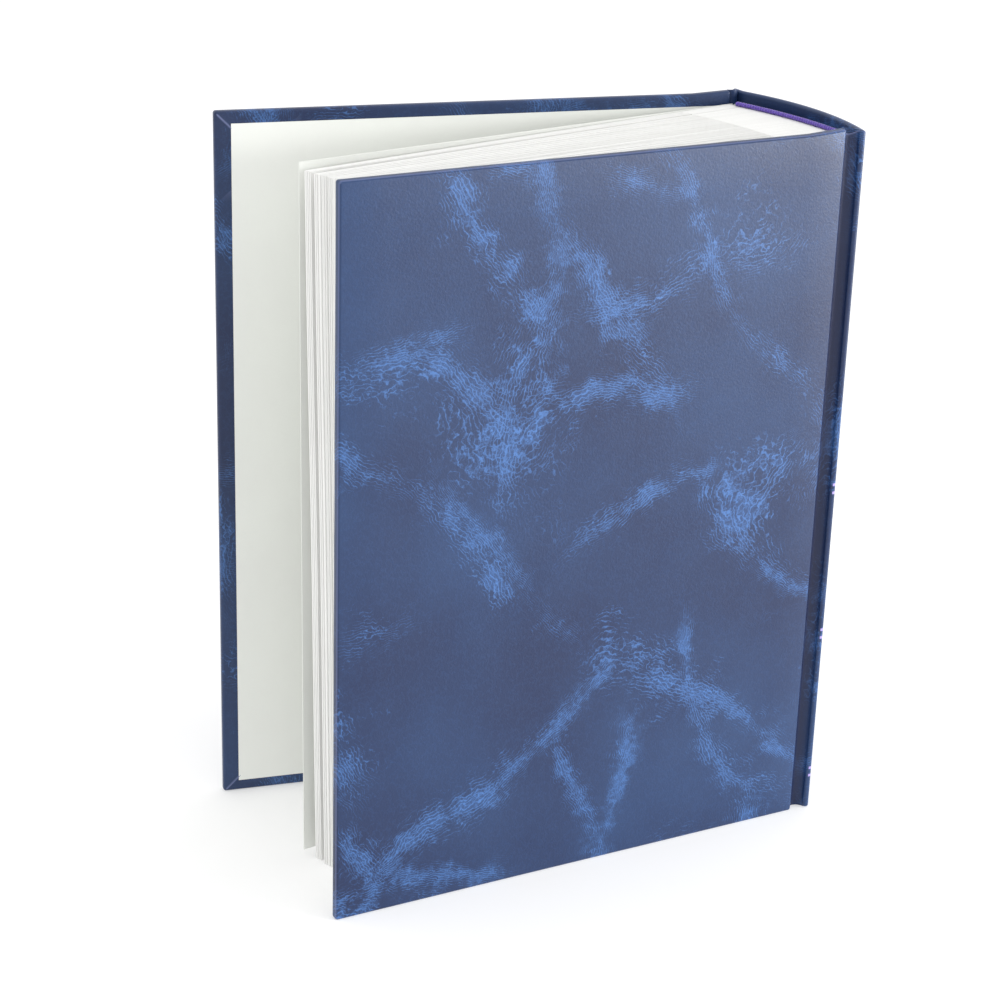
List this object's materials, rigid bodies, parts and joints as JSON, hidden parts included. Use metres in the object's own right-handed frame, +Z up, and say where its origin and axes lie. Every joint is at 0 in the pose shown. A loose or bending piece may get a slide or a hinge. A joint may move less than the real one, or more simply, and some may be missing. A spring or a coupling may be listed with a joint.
{
  "type": "scrapbook album",
  "caption": "Case-bound scrapbook album: cloth-covered boards, hollow rounded spine and sewn card leaves, standing on its tail with the front cover part open.",
  "frame": {"origin": "on the table, under the middle of the whole album's box", "axes": "+X from the fore-edge towards the spine, +Y from the back cover towards the front cover, +Z up from tail to head"},
  "size_m": [0.1728, 0.0916, 0.225],
  "materials": {
    "covering": "satin embossed leatherette",
    "grey_board": "matte",
    "endpaper": "matte",
    "leaf_card": "matte",
    "guard_card": "matte",
    "linen_thread": "matte",
    "mull": "matte open weave",
    "kraft_paper": "matte",
    "band_silk": "silky",
    "foil": "stamped foil"
  },
  "bodies": {
    "root": {"spine_cloth": "covering", "spine_card": "grey_board", "spine_rules": "foil", "back_joint_cloth": "covering", "back_joint_paper": "endpaper", "front_joint_cloth": "covering", "front_joint_paper": "endpaper", "sewing_threads": "linen_thread", "mull": "mull", "spine_lining": "kraft_paper", "head_band": "band_silk", "tail_band": "band_silk", "section_01": "leaf_card", "section_02": "leaf_card", "section_03": "leaf_card", "section_04": "leaf_card", "section_05": "leaf_card", "section_06": "leaf_card", "section_07": "leaf_card", "section_08": "leaf_card", "section_09": "leaf_card", "section_10": "leaf_card", "section_11": "leaf_card", "guards_01": "guard_card", "guards_02": "guard_card", "guards_03": "guard_card", "guards_04": "guard_card", "guards_05": "guard_card", "guards_06": "guard_card", "guards_07": "guard_card", "guards_08": "guard_card", "guards_09": "guard_card", "guards_10": "guard_card", "guards_11": "guard_card"},
    "front_cover": {"front_board": "grey_board", "front_cover_cloth": "covering", "front_pastedown": "endpaper"},
    "back_cover": {"back_board": "grey_board", "back_cover_cloth": "covering", "back_pastedown": "endpaper"},
    "front_flyleaf": {"front_flyleaf": "endpaper"},
    "loose_leaves": {"loose_leaves": "leaf_card", "loose_guards": "guard_card"},
    "back_flyleaf": {"back_flyleaf": "endpaper"}
  },
  "joints": [
    {"name": "front_cover_hinge", "type": "hinge", "parent": "root", "child": "front_cover", "pos_m": [0.07347, 0.01532, 0], "axis": [0, 0, -1], "range_deg": [-19.2, 150.8]},
    {"name": "front_flyleaf_fold", "type": "hinge", "parent": "root", "child": "front_flyleaf", "pos_m": [0.07308, 0.01097, 0], "axis": [0, 0, -1], "range_deg": [-2.1, 16.6]},
    {"name": "loose_leaves_fold", "type": "hinge", "parent": "root", "child": "loose_leaves", "pos_m": [0.07139, 0.01003, 0], "axis": [0, 0, -1], "range_deg": [-0.56, 4.4]},
    {"name": "back_cover_hinge", "type": "hinge", "parent": "root", "child": "back_cover", "pos_m": [0.07648, -0.04596, 0], "axis": [0, 0, 1], "range_deg": [0, 180]},
    {"name": "back_flyleaf_fold", "type": "hinge", "parent": "root", "child": "back_flyleaf", "pos_m": [0.07548, -0.04171, 0], "axis": [0, 0, 1], "range_deg": [0, 18.1]}
  ],
  "couplings": [
    {"joint": "front_flyleaf_fold", "follows": "front_cover_hinge", "ratio": 0.10885},
    {"joint": "loose_leaves_fold", "follows": "front_cover_hinge", "ratio": 0.028646},
    {"joint": "back_flyleaf_fold", "follows": "back_cover_hinge", "ratio": 0.1}
  ]
}
